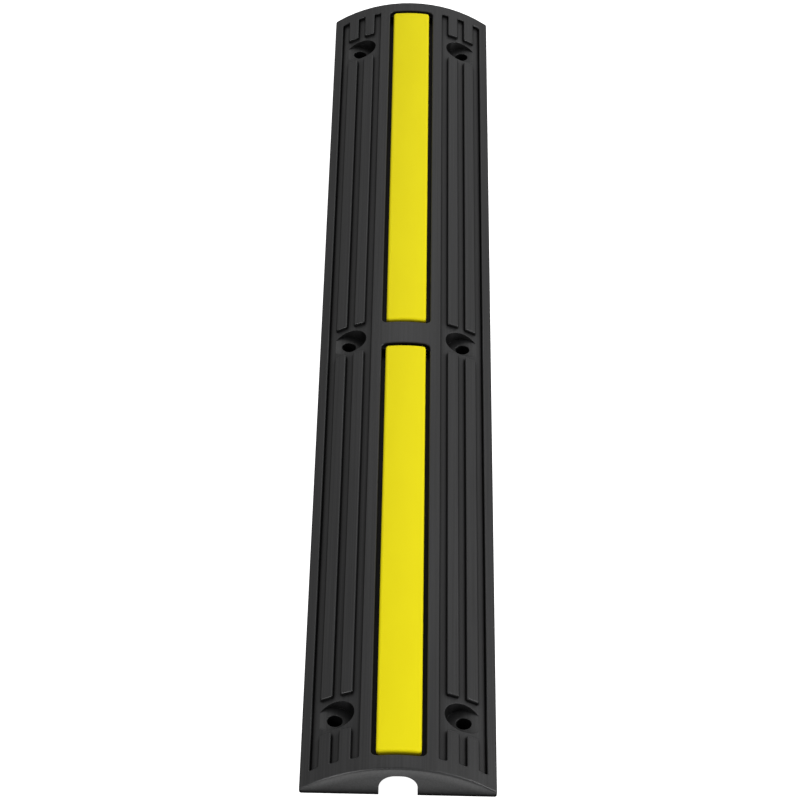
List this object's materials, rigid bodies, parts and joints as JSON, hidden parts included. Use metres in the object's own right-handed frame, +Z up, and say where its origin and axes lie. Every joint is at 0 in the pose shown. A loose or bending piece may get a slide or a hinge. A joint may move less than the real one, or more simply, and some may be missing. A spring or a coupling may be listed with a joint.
{
  "type": "cable protector ramp",
  "caption": "Low arched rubber ramp with a cable channel underneath, two yellow marker strips in the crown, lengthwise tread grooves and counterbored bolt holes.",
  "frame": {"origin": "on the floor at the centre of the footprint", "axes": "+X across the ramp, +Y along it, +Z up; the underside is the plane Z = 0"},
  "size_m": [0.145, 1, 0.0282],
  "materials": {
    "black_rubber": "satin-matt moulded rubber",
    "yellow_marker": "smooth soft plastic, slight sheen"
  },
  "bodies": {
    "root": {"ramp_body": "black_rubber", "near_marker_strip": "yellow_marker", "far_marker_strip": "yellow_marker"}
  },
  "joints": []
}
